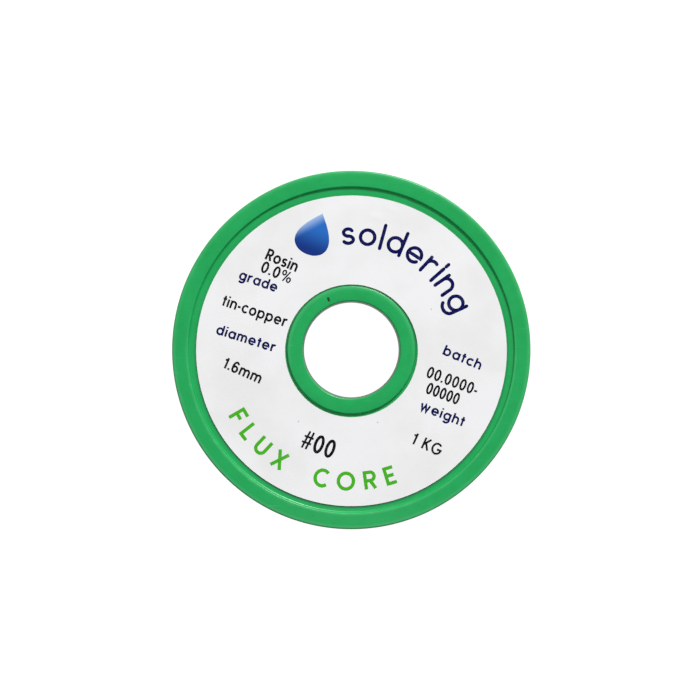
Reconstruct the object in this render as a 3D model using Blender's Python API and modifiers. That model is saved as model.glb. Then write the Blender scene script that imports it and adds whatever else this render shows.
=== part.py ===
"""Solder wire spool: two moulded halves, a face label and the wire wound between the flanges.

Run with: blender --background --python part.py
Metres, +Z up. The spool lies flat, its axis is Z and the origin is the centre of its rear face.
"""

from math import atan2, cos, hypot, pi, radians, sin

import bmesh
import bpy
from mathutils import Matrix

# Spool. The flange, the bore and the height are the driving sizes.
FLANGE_DIAMETER = 0.110
SPOOL_HEIGHT = 0.046
BORE_DIAMETER = 0.030
BORE_WALL = 0.0018
CAVITY_WIDTH = 0.0042  # between the bore tube and the barrel
BARREL_WALL = 0.0020
WEB_THICKNESS = 0.0028
CAP_THICKNESS = 0.0022  # the skin behind the hub ring
RECESS_DEPTH = 0.0008  # the label lies this far below the rim
HUB_RING_WIDTH = 0.0047
RIM_WIDTH = 0.0050
STEP_LEAN = 0.0004  # draft of the step between rim and recess

# Edge rounds.
RIM_ROUND = 0.0008
FLANGE_EDGE_ROUND = 0.0006
STEP_ROUND = 0.0004
HUB_ROUND = 0.0006
BORE_ROUND = 0.0004

# Joint between the halves, at mid height.
SPIGOT_LENGTH = 0.0030
SPIGOT_SHARE = 0.42  # of the barrel wall
RIB_COUNT = 6
RIB_THICKNESS = 0.0014
RIB_SHORT_OF_JOINT = 0.0045

# Label.
LABEL_THICKNESS = 0.00015
GLUE_FILM = 0.0001
LABEL_TO_STEP = 0.0020
LABEL_TO_HUB = 0.0005

# Wire: resin-cored, wound in layers that nest into each other.
WIRE_DIAMETER = 0.0016
FLUX_CORE_DIAMETER = 0.00066
FLUX_CORE_CLEARANCE = 0.00003
LAYER_PITCH = 0.9 * WIRE_DIAMETER
TURN_PITCH = 1.03 * WIRE_DIAMETER
RIM_ABOVE_WIRE = 0.0082  # how far the flange stands above a full winding, at least
LAST_LAYER_SHARE = 0.7  # the last layer stops short of the far flange
WIRE_TIP_ANGLE = -58  # degrees from +X, as every angle here is
WIRE_END_SWEEP = 62
START_BAY = 3  # the bay between ribs that holds the wire's inner end
START_HOLE_SHARE = 0.22  # how far into its bay the hole is
START_TAIL_SWEEP = 24
START_BEND = 1.2 * WIRE_DIAMETER

# Tape over the wire's outer end.
TAPE_WIDTH = 0.012
TAPE_TO_FLANGE = 0.0010
TAPE_THICKNESS = 0.0002
TAPE_BEFORE_TIP = 15  # degrees

FIT_GAP = 0.0003
SEGMENTS = 64  # round the full circle
ROUND_STEPS = 3
TAPE_STEPS = 6
SHARP_FROM = 35

# What follows from those sizes.
FLANGE_RADIUS = FLANGE_DIAMETER / 2
BORE_RADIUS = BORE_DIAMETER / 2
BORE_TUBE_RADIUS = BORE_RADIUS + BORE_WALL
BARREL_INSIDE = BORE_TUBE_RADIUS + CAVITY_WIDTH
BARREL_RADIUS = BARREL_INSIDE + BARREL_WALL
HUB_RADIUS = BORE_RADIUS + HUB_RING_WIDTH
STEP_RADIUS = FLANGE_RADIUS - RIM_WIDTH - STEP_LEAN
FLANGE_THICKNESS = WEB_THICKNESS + RECESS_DEPTH
JOINT_HEIGHT = SPOOL_HEIGHT / 2
SPIGOT_RADIUS = BARREL_INSIDE + SPIGOT_SHARE * BARREL_WALL
RIB_FOOT = CAP_THICKNESS / 2
RIB_TOP = JOINT_HEIGHT - RIB_SHORT_OF_JOINT
WIRE_RADIUS = WIRE_DIAMETER / 2

WINDING_FOOT = FLANGE_THICKNESS + FIT_GAP
WINDING_TOP = SPOOL_HEIGHT - FLANGE_THICKNESS - FIT_GAP
WINDING_INSIDE = BARREL_RADIUS + FIT_GAP
WINDING_ROOM = FLANGE_RADIUS - RIM_ABOVE_WIRE - WINDING_INSIDE
LAYERS = int((WINDING_ROOM - WIRE_DIAMETER) / LAYER_PITCH) + 1
TURNS = int((WINDING_TOP - WINDING_FOOT) / TURN_PITCH)
LAST_TURNS = round(LAST_LAYER_SHARE * TURNS)
LAST_LAYER_UP = LAYERS % 2 == 1  # odd layers run from the rear flange to the front one


def layer_outside(layer):
    """Outer radius of the winding once it has this many layers."""
    return WINDING_INSIDE + WIRE_DIAMETER + (layer - 1) * LAYER_PITCH


FULL_RADIUS = layer_outside(LAYERS)
BELOW_RADIUS = layer_outside(LAYERS - 1)
TURN_SPACING = (WINDING_TOP - WINDING_FOOT) / TURNS
TOWARDS_FREE_END = 1 if LAST_LAYER_UP else -1
LAST_FROM = WINDING_FOOT if LAST_LAYER_UP else WINDING_TOP
STEP_HEIGHT = LAST_FROM + TOWARDS_FREE_END * LAST_TURNS * TURN_SPACING
WIRE_END_RADIUS = BELOW_RADIUS + FIT_GAP + WIRE_RADIUS
WIRE_END_HEIGHT = STEP_HEIGHT + TOWARDS_FREE_END * (FIT_GAP + WIRE_RADIUS)
FREE_END = WINDING_TOP if LAST_LAYER_UP else WINDING_FOOT
TAPE_REACH = abs(FREE_END - WIRE_END_HEIGHT) - TAPE_TO_FLANGE  # each way from the wire
TAPE_ANGLE = WIRE_TIP_ANGLE - TAPE_BEFORE_TIP
START_ANGLE = (START_BAY + START_HOLE_SHARE) * 360 / RIB_COUNT
START_HEIGHT = WINDING_FOOT + WIRE_DIAMETER


def clear_scene():
    """Empties the scene and makes a collection for the spool and one for its cutters."""
    for obj in list(bpy.data.objects):
        bpy.data.objects.remove(obj)
    made = {}
    for name in ("solder_wire_spool", "cutters"):
        made[name] = bpy.data.collections.new(name)
        bpy.context.scene.collection.children.link(made[name])
    return made["solder_wire_spool"], made["cutters"]


def plain_material(name, colour, roughness, metallic=0.0):
    """A Principled material of one colour."""
    material = bpy.data.materials.new(name)
    material.use_nodes = True
    shader = material.node_tree.nodes["Principled BSDF"]
    shader.inputs["Base Color"].default_value = (*colour, 1)
    shader.inputs["Roughness"].default_value = roughness
    shader.inputs["Metallic"].default_value = metallic
    return material


def new_object(name, data, collection, material=None):
    obj = bpy.data.objects.new(name, data)
    collection.objects.link(obj)
    if material:
        obj.data.materials.append(material)
    return obj


def as_helper(obj):
    """Marks a cutter or a rib set, which shapes a piece and isn't one itself."""
    obj.hide_render = True
    obj.display_type = "WIRE"
    return obj


def arc_points(centre, radius, start, end):
    """Points on an arc in the (r, z) section, angles in degrees from +r towards +z."""
    angles = [start + (end - start) * i / ROUND_STEPS for i in range(ROUND_STEPS + 1)]
    return [
        (centre[0] + radius * cos(radians(a)), centre[1] + radius * sin(radians(a)))
        for a in angles
    ]


def turned(name, section, collection, material=None, closed=True):
    """Turns an (r, z) section about Z. The section runs down its outer side."""
    mesh = bpy.data.meshes.new(name)
    points = [(r, 0, z) for r, z in section]
    edges = [(i, i + 1) for i in range(len(points) - 1)]
    if closed:
        edges.append((len(points) - 1, 0))
    mesh.from_pydata(points, edges, [])
    obj = new_object(name, mesh, collection, material)
    screw = obj.modifiers.new("Turn", "SCREW")
    screw.steps = screw.render_steps = SEGMENTS
    screw.use_merge_vertices = False
    screw.use_smooth_shade = False
    return obj


def boolean(obj, operation, other):
    modifier = obj.modifiers.new(f"{operation} {other.name}", "BOOLEAN")
    modifier.operation = operation
    modifier.object = other
    modifier.solver = "EXACT"


def flange_section():
    """From the barrel's root, over the flange and its outer face, to the bore's edge."""
    edge = FLANGE_EDGE_ROUND
    rim_edge = STEP_RADIUS + STEP_LEAN
    return [
        (BARREL_RADIUS, FLANGE_THICKNESS),
        *arc_points((FLANGE_RADIUS - edge, FLANGE_THICKNESS - edge), edge, 90, 0),
        *arc_points((FLANGE_RADIUS - RIM_ROUND, RIM_ROUND), RIM_ROUND, 0, -90),
        *arc_points((rim_edge + STEP_ROUND, STEP_ROUND), STEP_ROUND, -90, -180),
        (STEP_RADIUS, RECESS_DEPTH),
        (HUB_RADIUS, RECESS_DEPTH),
        *arc_points((HUB_RADIUS - HUB_ROUND, HUB_ROUND), HUB_ROUND, 0, -90),
        *arc_points((BORE_RADIUS + BORE_ROUND, BORE_ROUND), BORE_ROUND, -90, -180),
    ]


def inside_section(joint):
    """From the bore tube's end, down into the cavity and out to the barrel's inner wall."""
    slope = FLANGE_THICKNESS - CAP_THICKNESS
    cap_edge = HUB_RADIUS - BORE_WALL
    return [
        (BORE_RADIUS, joint),
        (BORE_TUBE_RADIUS, joint),
        (BORE_TUBE_RADIUS, CAP_THICKNESS),
        (cap_edge, CAP_THICKNESS),
        (min(cap_edge + slope, BARREL_INSIDE - FIT_GAP), FLANGE_THICKNESS),
        (BARREL_INSIDE, FLANGE_THICKNESS),
    ]


def rib_set(name, foot, top, collection):
    """The radial ribs between the bore tube and the barrel, sunk into the walls they join."""
    inner = BORE_TUBE_RADIUS - BORE_WALL / 2
    outer = BARREL_INSIDE + BARREL_WALL / 3
    mesh = bpy.data.meshes.new(name)
    shape = bmesh.new()
    for i in range(RIB_COUNT):
        corners = bmesh.ops.create_cube(shape, size=1)["verts"]
        bmesh.ops.scale(shape, vec=(outer - inner, RIB_THICKNESS, top - foot), verts=corners)
        bmesh.ops.translate(shape, vec=((inner + outer) / 2, 0, (foot + top) / 2), verts=corners)
        turn = Matrix.Rotation(2 * pi * i / RIB_COUNT, 4, "Z")
        bmesh.ops.transform(shape, matrix=turn, verts=corners)
    shape.to_mesh(mesh)
    shape.free()
    return as_helper(new_object(name, mesh, collection))


def start_hole(collection):
    """The cutter for the hole that the wire's inner end goes through."""
    bpy.ops.mesh.primitive_cylinder_add(
        vertices=16, radius=WIRE_RADIUS + FIT_GAP, depth=3 * BARREL_WALL
    )
    hole = bpy.context.object
    hole.name = "start_hole_cutter"
    for owner in list(hole.users_collection):
        owner.objects.unlink(hole)
    collection.objects.link(hole)
    middle = BARREL_RADIUS - BARREL_WALL / 2
    angle = radians(START_ANGLE)
    hole.rotation_euler = (0, pi / 2, angle)
    hole.location = (middle * cos(angle), middle * sin(angle), START_HEIGHT)
    return as_helper(hole)


def half_section(end_radius, end_height):
    """A half as it lies flange down. Its barrel's inner part ends at its own radius and height."""
    joint = JOINT_HEIGHT - FIT_GAP / 2
    return [
        *flange_section(),
        *inside_section(joint),
        (BARREL_INSIDE, end_height),
        (end_radius, end_height),
        (end_radius, joint),
        (BARREL_RADIUS, joint),
    ]


def rear_half(collection, cutters, plastic):
    """Rear flange, bore tube and barrel, with the spigot that enters the front half."""
    section = half_section(SPIGOT_RADIUS, JOINT_HEIGHT + SPIGOT_LENGTH)
    half = turned("rear_half", section, collection, plastic)
    boolean(half, "UNION", rib_set("rear_ribs", RIB_FOOT, RIB_TOP, cutters))
    boolean(half, "DIFFERENCE", start_hole(cutters))


def front_half(collection, cutters, plastic):
    """The same flange turned over, with a socket for the spigot."""
    section = half_section(SPIGOT_RADIUS + FIT_GAP, JOINT_HEIGHT - SPIGOT_LENGTH - FIT_GAP)
    turned_over = [(r, SPOOL_HEIGHT - z) for r, z in reversed(section)]
    half = turned("front_half", turned_over, collection, plastic)
    ribs = rib_set("front_ribs", SPOOL_HEIGHT - RIB_TOP, SPOOL_HEIGHT - RIB_FOOT, cutters)
    boolean(half, "UNION", ribs)


def front_label(collection, paper):
    """The printed ring in the recess of the front flange, on its film of glue."""
    foot = SPOOL_HEIGHT - RECESS_DEPTH + GLUE_FILM
    top = foot + LABEL_THICKNESS
    outer = STEP_RADIUS - LABEL_TO_STEP
    inner = HUB_RADIUS + LABEL_TO_HUB
    section = [(outer, top), (outer, foot), (inner, foot), (inner, top)]
    turned("front_label", section, collection, paper)


def solder_winding(collection, solder):
    """The outer shape of the wound wire. The last layer stops short, which leaves the step."""
    upper, lower = (BELOW_RADIUS, FULL_RADIUS) if LAST_LAYER_UP else (FULL_RADIUS, BELOW_RADIUS)
    section = [
        (WINDING_INSIDE, WINDING_TOP),
        (upper, WINDING_TOP),
        (upper, STEP_HEIGHT),
        (lower, STEP_HEIGHT),
        (lower, WINDING_FOOT),
        (WINDING_INSIDE, WINDING_FOOT),
    ]
    turned("solder_winding", section, collection, solder)


def tube(name, points, radius, collection, material=None):
    """A round wire along points, with flat ends."""
    curve = bpy.data.curves.new(name, "CURVE")
    curve.dimensions = "3D"
    curve.bevel_depth = radius
    curve.bevel_resolution = 2
    curve.use_fill_caps = True
    spline = curve.splines.new("POLY")
    spline.points.add(len(points) - 1)
    for point, place in zip(spline.points, points):
        point.co = (*place, 1)
    return new_object(name, curve, collection, material)


def as_mesh(obj):
    """Replaces a curve object with its own closed mesh, so that it can be cut."""
    graph = bpy.context.evaluated_depsgraph_get()
    mesh = bpy.data.meshes.new_from_object(obj.evaluated_get(graph))
    shape = bmesh.new()
    shape.from_mesh(mesh)
    bmesh.ops.remove_doubles(shape, verts=shape.verts, dist=1e-6)
    shape.to_mesh(mesh)
    shape.free()
    name, collection, matrix = obj.name, obj.users_collection[0], obj.matrix_world.copy()
    bpy.data.objects.remove(obj)
    made = new_object(name, mesh, collection)
    made.matrix_world = matrix
    return made


def wire_end_route(extra=0.0):
    """The last part of a turn, counter-clockwise from above, on top of the layer below."""
    steps = 24
    sweep = radians(WIRE_END_SWEEP)
    more = extra / WIRE_END_RADIUS
    first = radians(WIRE_TIP_ANGLE) - sweep - more
    angles = [first + (sweep + 2 * more) * i / steps for i in range(steps + 1)]
    return [(WIRE_END_RADIUS * cos(a), WIRE_END_RADIUS * sin(a), WIRE_END_HEIGHT) for a in angles]


def wire_end(collection, cutters, solder, resin):
    """The wire's outer end, a tube of solder, and the resin core inside it."""
    end = as_mesh(tube("wire_end", wire_end_route(), WIRE_RADIUS, collection, solder))
    bore_radius = FLUX_CORE_DIAMETER / 2 + FLUX_CORE_CLEARANCE
    bore = tube("flux_bore", wire_end_route(WIRE_DIAMETER), bore_radius, cutters)
    boolean(end, "DIFFERENCE", as_helper(as_mesh(bore)))
    tube("flux_core", wire_end_route(), FLUX_CORE_DIAMETER / 2, collection, resin)


def wire_start(collection, solder):
    """The inner end: in through the barrel wall, round a bend and along the cavity."""
    lane = (BORE_TUBE_RADIUS + BARREL_INSIDE) / 2
    bend_x = lane + START_BEND
    flat = [(BARREL_RADIUS, 0.0), ((BARREL_RADIUS + bend_x) / 2, 0.0)]
    bend_steps = 6
    for i in range(bend_steps + 1):
        a = radians(-90 - 90 * i / bend_steps)
        flat.append((bend_x + START_BEND * cos(a), START_BEND + START_BEND * sin(a)))
    tail_radius = hypot(lane, START_BEND)
    tail_steps = 6
    for i in range(1, tail_steps + 1):
        a = atan2(START_BEND, lane) + radians(START_TAIL_SWEEP) * i / tail_steps
        flat.append((tail_radius * cos(a), tail_radius * sin(a)))
    turn = radians(START_ANGLE)
    route = [
        (x * cos(turn) - y * sin(turn), x * sin(turn) + y * cos(turn), START_HEIGHT)
        for x, y in flat
    ]
    tube("wire_start", route, WIRE_RADIUS, collection, solder)


def end_tape(collection, tape):
    """A strip stuck over the wire's end, following the step in the winding."""
    away = TOWARDS_FREE_END
    wire = WIRE_END_RADIUS + WIRE_RADIUS + FIT_GAP
    section = [
        (FULL_RADIUS + FIT_GAP, WIRE_END_HEIGHT - away * TAPE_REACH),
        (FULL_RADIUS + FIT_GAP, STEP_HEIGHT - away * WIRE_DIAMETER),
        (wire, STEP_HEIGHT),
        (wire, WIRE_END_HEIGHT + away * (WIRE_RADIUS + FIT_GAP)),
        (BELOW_RADIUS + FIT_GAP, WIRE_END_HEIGHT + away * 2 * WIRE_DIAMETER),
        (BELOW_RADIUS + FIT_GAP, WIRE_END_HEIGHT + away * TAPE_REACH),
    ]
    if away > 0:
        section.reverse()
    strip = turned("end_tape", section, collection, tape, closed=False)
    sweep = TAPE_WIDTH / FULL_RADIUS
    screw = strip.modifiers["Turn"]
    screw.angle = sweep
    screw.steps = screw.render_steps = TAPE_STEPS
    strip.rotation_euler = (0, 0, radians(TAPE_ANGLE) - sweep / 2)
    thickness = strip.modifiers.new("Thickness", "SOLIDIFY")
    thickness.thickness = TAPE_THICKNESS
    thickness.offset = 1


def shade_round(obj):
    """Fixes the shape of a mesh object and shades it smooth, with its corners kept sharp."""
    graph = bpy.context.evaluated_depsgraph_get()
    mesh = bpy.data.meshes.new_from_object(obj.evaluated_get(graph))
    obj.modifiers.clear()
    obj.data = mesh
    mesh.shade_smooth()
    mesh.set_sharp_from_angle(angle=radians(SHARP_FROM))


def main():
    spool, cutters = clear_scene()
    plastic = plain_material("green_plastic", (0.024, 0.38, 0.105), 0.38)
    paper = plain_material("label_paper", (0.84, 0.84, 0.83), 0.55)
    solder = plain_material("solder_alloy", (0.78, 0.78, 0.76), 0.32, 1.0)
    resin = plain_material("flux_resin", (0.55, 0.30, 0.06), 0.2)
    tape = plain_material("masking_tape", (0.74, 0.63, 0.42), 0.7)
    rear_half(spool, cutters, plastic)
    front_half(spool, cutters, plastic)
    front_label(spool, paper)
    solder_winding(spool, solder)
    wire_start(spool, solder)
    wire_end(spool, cutters, solder, resin)
    end_tape(spool, tape)
    for obj in spool.objects:
        if obj.type == "MESH":
            shade_round(obj)


main()
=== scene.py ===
import math

import bpy
import numpy as np
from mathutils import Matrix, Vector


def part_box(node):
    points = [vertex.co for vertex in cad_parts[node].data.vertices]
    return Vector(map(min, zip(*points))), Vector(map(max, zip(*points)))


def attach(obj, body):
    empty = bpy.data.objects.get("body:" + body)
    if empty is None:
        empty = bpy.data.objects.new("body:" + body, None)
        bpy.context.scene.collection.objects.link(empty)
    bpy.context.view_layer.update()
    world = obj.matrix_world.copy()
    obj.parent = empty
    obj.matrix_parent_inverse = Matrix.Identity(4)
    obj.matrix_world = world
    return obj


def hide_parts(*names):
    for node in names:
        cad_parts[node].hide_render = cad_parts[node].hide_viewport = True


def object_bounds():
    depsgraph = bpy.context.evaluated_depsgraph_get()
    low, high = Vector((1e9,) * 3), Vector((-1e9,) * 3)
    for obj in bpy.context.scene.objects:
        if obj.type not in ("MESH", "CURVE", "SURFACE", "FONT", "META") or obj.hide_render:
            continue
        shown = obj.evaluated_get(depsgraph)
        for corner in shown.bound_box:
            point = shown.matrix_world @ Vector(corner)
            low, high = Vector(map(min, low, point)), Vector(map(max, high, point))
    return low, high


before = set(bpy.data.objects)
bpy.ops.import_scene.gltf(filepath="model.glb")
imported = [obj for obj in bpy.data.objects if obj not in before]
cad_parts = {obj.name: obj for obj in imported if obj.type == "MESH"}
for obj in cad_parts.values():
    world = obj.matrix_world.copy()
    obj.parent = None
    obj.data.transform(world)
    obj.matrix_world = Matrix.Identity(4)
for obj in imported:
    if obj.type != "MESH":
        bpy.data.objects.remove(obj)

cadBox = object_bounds()  # kept from before any new piece exists
mm = 0.001
spoolHeight = cadBox[1].z
flangeRadius = cadBox[1].x
rng = np.random.default_rng(16)

lightOrder = dict(
    zenith=(0.56, 0.56, 0.57), dark=(0.12, 0.12, 0.125), worldLean=(0.2, 0.78, 0.6),
    key=dict(place=(0.90, 2.20, 1.76), size=(0.62, 0.50), power=92.0),
    side=dict(place=(-0.9, -0.1, 0.75), size=(0.5, 0.5), power=0.8),
    backdrop=(1.0, 1.0, 1.0), floorShade=(0.16, 0.16, 0.16),
    floorSeen=(1.0, 1.0, 1.0), floorGlow=(0.42, 0.42, 0.42), floorSize=6, floorDrop=0.02 * mm,
)
cameraOrder = dict(
    ring=1.6 * mm,  # how far the flange's widest ring is below the top
    height=1.35,  # above that ring
    frameWidth=214.9 * mm,  # how much fits across at that ring
    aside=(-0.4 * mm, 0.0),
)


class Value:  # a socket that can be added, multiplied and so on
    def __init__(self, nodes, node, output=0):
        self.nodes = nodes
        self.node = node
        self.socket = node.outputs[output]

    def pick(self, output):  # another output of the same node
        return Value(self.nodes, self.node, output)

    def maths(self, operation, *terms):
        settings = {"operation": operation}
        return self.nodes.add("ShaderNodeMath", settings, dict(enumerate(terms)))

    def __add__(self, other):
        return self.maths("ADD", self, other)

    def __sub__(self, other):
        return self.maths("SUBTRACT", self, other)

    def __mul__(self, other):
        return self.maths("MULTIPLY", self, other)

    def __truediv__(self, other):
        return self.maths("DIVIDE", self, other)

    def __pow__(self, other):
        return self.maths("POWER", self, other)

    def wave(self):  # its sine
        return self.maths("SINE", self)

    def ramp(self, low, high, bottom=0.0, top=1.0):  # a smooth step from bottom to top
        settings = {"interpolation_type": "SMOOTHSTEP"}
        sockets = {0: self, 1: low, 2: high, 3: bottom, 4: top}
        return self.nodes.add("ShaderNodeMapRange", settings, sockets)

    def fall(self, low, high, top=1.0):  # a smooth step down to 0
        return self.ramp(low, high, top, 0.0)

    def band(self, low, start, end, high):  # 1 from start to end, and 0 outside low and high
        return self.ramp(low, start) * self.fall(end, high)


class Nodes:  # a tree whose nodes are added as values
    def __init__(self, tree):
        self.tree = tree

    def feed(self, socket, value):  # a link from a Value, or a fixed number or colour
        if isinstance(value, Value):
            self.tree.links.new(value.socket, socket)
        elif isinstance(value, tuple) and len(value) == 3 and socket.type == "RGBA":
            socket.default_value = (*value, 1)
        else:
            socket.default_value = value

    def add(self, kind, settings=None, sockets=None, output=0):
        node = self.tree.nodes.new(kind)
        for setting, value in (settings or {}).items():
            setattr(node, setting, value)
        for key, value in (sockets or {}).items():
            self.feed(node.inputs[key], value)
        return Value(self, node, output)

    def mix(self, share, first, second):  # colours
        settings = {"data_type": "RGBA"}
        return self.add("ShaderNodeMix", settings, {0: share, 6: first, 7: second}, 2)


class Finish(Nodes):  # one material, with its Principled shader
    def __init__(self, name, **fixed):
        self.material = bpy.data.materials.new(name)
        self.material.use_nodes = True
        super().__init__(self.material.node_tree)
        self.shader = self.tree.nodes["Principled BSDF"]
        self.paint(**fixed)

    def paint(self, **looks):  # the shader's sockets by name
        for socket, value in looks.items():
            self.feed(self.shader.inputs[socket.replace("_", " ")], value)

    def place(self):  # the point on the piece, in metres
        return self.add("ShaderNodeTexCoord", output="Object")

    def run(self, name):  # the piece's own map of that name
        return self.add("ShaderNodeUVMap", {"uv_map": name})

    def stretched(self, vector, scale, turn=(0, 0, 0)):
        return self.add("ShaderNodeMapping", None, {"Vector": vector, "Rotation": turn, "Scale": scale})

    def noise(self, vector, scale, detail=2.0, roughness=0.5):
        sockets = {"Vector": vector, "Scale": scale, "Detail": detail, "Roughness": roughness}
        return self.add("ShaderNodeTexNoise", None, sockets)

    def away(self, vector, point):  # distance from a point
        settings = {"operation": "DISTANCE"}
        return self.add("ShaderNodeVectorMath", settings, {0: vector, 1: point}, "Value")

    def parts(self, vector):  # x, y and z by name
        return self.add("ShaderNodeSeparateXYZ", None, {0: vector})

    def bump(self, height, distance, strength=1.0):
        sockets = {"Height": height, "Distance": distance, "Strength": strength}
        return self.add("ShaderNodeBump", None, sockets)


labelShift = (0.05 * mm, -0.25 * mm)  # the paper ring is stuck down a little off centre
plasticLook = dict(
    # The pale green is the tone of wear and of painted highlight; the dark green-black one is painted
    # shade.
    colour=(0.008, 0.378, 0.094), deep=(0.004, 0.335, 0.076), wearAndHighlightTone=(0.12, 0.50, 0.21),
    paintedShade=(0.010, 0.125, 0.040), speck=(0.10, 0.17, 0.05), roughness=0.31,
    cloudScale=42.0, patchScale=260.0, mottleScale=380.0, speckScale=640.0, grainScale=1900.0,
    scratchLength=28.0, scratchWidth=1500.0, tearScale=1400.0,
    gate=(-7.0 * mm, 15.4 * mm), gateRadius=0.62 * mm, gateShade=(0.006, 0.045, 0.012),
    pinCircle=34.5 * mm, pinRadius=2.4 * mm, pinCount=6, pinDepth=0.05 * mm,
    # Strengths: painted highlight on the hub edge and the step, painted shade in the hub corner and
    # painted shadow along the paper's edge, paler tone on the rim and towards the bottom.
    hubHighlight=0.24, rimPale=0.19, footPale=0.09, hubCornerShade=0.66, paperEdgeShadow=0.64, stepHighlight=0.42,
    # distances from the axis where each band starts, is full, starts to fade and ends: painted highlight
    # on the hub and the step, painted shade in the corner and along the paper
    hubBand=(18.2 * mm, 19.1 * mm, 19.4 * mm, 19.7 * mm),
    stepBand=(49.95 * mm, 50.25 * mm, 50.55 * mm, 50.95 * mm),
    cornerBand=(19.4 * mm, 19.65 * mm, 20.2 * mm, 20.6 * mm),
    paperBand=(47.4 * mm, 47.7 * mm, 48.0 * mm, 48.7 * mm),
    # the two values of y between which each of these fades in or out
    lower=(-0.9 * flangeRadius, 0.5 * flangeRadius), foot=(-0.97 * flangeRadius, -0.75 * flangeRadius),
    head=(-12.0 * mm, 8.0 * mm), near=(-8.0 * mm, 18.0 * mm),
    grainHeight=0.012 * mm, cloudHeight=0.02 * mm, scratchDepth=0.008 * mm, gateDepth=0.12 * mm,
)


def scratches(finish, place, look, turn):  # long thin streaks, few of them
    scale = (look["scratchLength"], look["scratchWidth"], look["scratchLength"])
    streak = finish.noise(finish.stretched(place, scale, (0, 0, turn)), 1.0, 1.0)
    return streak.ramp(0.68, 0.76)


def plasticFinish(look):
    finish = Finish("spoolGreen", Specular_IOR_Level=0.4)
    place = finish.place()
    spot = finish.parts(place)
    x, y, z = spot.pick("X"), spot.pick("Y"), spot.pick("Z")
    radius = (x**2 + y**2) ** 0.5
    cloud = finish.noise(place, look["cloudScale"], 3.0)
    grain = finish.noise(place, look["grainScale"], 2.0)
    scratch = scratches(finish, place, look, 0.5) + scratches(finish, place, look, 2.2)
    patch = finish.noise(place, look["patchScale"], 2.0).ramp(0.5, 0.72)
    mottle = finish.noise(place, look["mottleScale"], 3.0)
    # The rounded edges are paler: worn patches and scratches all round the rim, and painted highlight on
    # the rim's lower side, the upper side of the hub ring's edge and the step's lower half. The flange is
    # also paler towards the bottom.
    lower, foot, near = y.fall(*look["lower"]), y.fall(*look["foot"]), y.fall(*look["near"])
    head = y.ramp(*look["head"])
    rim = radius.ramp(flangeRadius - 1.6 * mm, flangeRadius - 0.4 * mm)
    wearAndHighlight = rim * (patch * 0.10 + look["rimPale"] + lower * (look["rimPale"] * 0.65))
    wearAndHighlight = wearAndHighlight + radius.band(*look["hubBand"]) * head * look["hubHighlight"]
    wearAndHighlight = wearAndHighlight + foot * look["footPale"] + scratch * patch * 0.25
    wearAndHighlight = wearAndHighlight + radius.band(*look["stepBand"]) * near * (patch * 0.5 + 0.5) * look["stepHighlight"]
    # Painted shade in the corner by the hub, mostly on its upper side, and painted shadow along the
    # paper's outer edge, mostly on its lower side.
    front = z.ramp(spoolHeight - 1.2 * mm, spoolHeight - 1.0 * mm)
    toPaperAxis = ((x - labelShift[0]) ** 2 + (y - labelShift[1]) ** 2) ** 0.5
    paintedShade = radius.band(*look["cornerBand"]) * (head * 0.95 + 0.05) * look["hubCornerShade"]
    paintedShade = paintedShade + toPaperAxis.band(*look["paperBand"]) * (lower * 0.7 + 0.3) * look["paperEdgeShadow"]
    paintedShade = paintedShade * front * (mottle * 0.5 + 0.75)
    # The ejector marks: every sector of the circle is folded onto one.
    sector = 2 * math.pi / look["pinCount"]
    angle = finish.add("ShaderNodeMath", {"operation": "ARCTAN2"}, {0: y, 1: x})
    folded = angle - (angle / sector).maths("ROUND", angle / sector) * sector
    across = radius * folded.wave()
    along = radius * folded.maths("COSINE", folded) - look["pinCircle"]
    offPin = (across * across + along * along) ** 0.5
    pin = offPin.ramp(look["pinRadius"] - 0.1 * mm, look["pinRadius"])
    # The gate's torn mark on the hub ring: a ragged pit, longer than it is wide, whose dark colour is
    # painted shade.
    offX, offY = x - look["gate"][0], y - look["gate"][1]
    tear = finish.noise(place, look["tearScale"], 2.0)
    off = ((offX * 2.0 + offY * 0.3) ** 2 + offY**2) ** 0.5 / look["gateRadius"] + tear * 1.6 - 0.8
    gate = off.fall(0.75, 1.5) * z.ramp(spoolHeight - 0.4 * mm, spoolHeight - 0.3 * mm)
    height = grain * look["grainHeight"] + pin * look["pinDepth"] + cloud * look["cloudHeight"]
    height = height - scratch * look["scratchDepth"] - gate * look["gateDepth"]
    deepShare = cloud.ramp(0.3, 0.7) * 0.5 + mottle.ramp(0.3, 0.7) * 0.5
    specks = finish.noise(place, look["speckScale"], 1.0).ramp(0.73, 0.8, 0.0, 0.5)
    tone = finish.mix(specks, finish.mix(deepShare, look["deep"], look["colour"]), look["speck"])
    # Wear and painted highlight pale the tone, then painted shade darkens it.
    tone = finish.mix(paintedShade, finish.mix(wearAndHighlight, tone, look["wearAndHighlightTone"]), look["paintedShade"])
    finish.paint(
        Base_Color=finish.mix(gate * 0.97, tone, look["gateShade"]),
        Roughness=cloud * 0.10 + grain * 0.08 + scratch * 0.10 + wearAndHighlight * 0.2 + (look["roughness"] - 0.09),
        Normal=finish.bump(height, 1.0, 0.9),
    )
    return finish.material


labelLook = dict(
    colour=(0.835, 0.836, 0.842), shade=(0.762, 0.758, 0.750), roughness=0.46,
    specks=((-16.2, -21.9), (8.1, -22.2), (24.5, 12.5)),  # x and y of each
    speckRadius=0.17 * mm, speckShade=(0.12, 0.11, 0.12), below=0.55 * mm,  # under the rim
    fibreScale=900.0, cloudScale=55.0, fibreHeight=0.004 * mm, cloudHeight=0.03 * mm,
)


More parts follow.
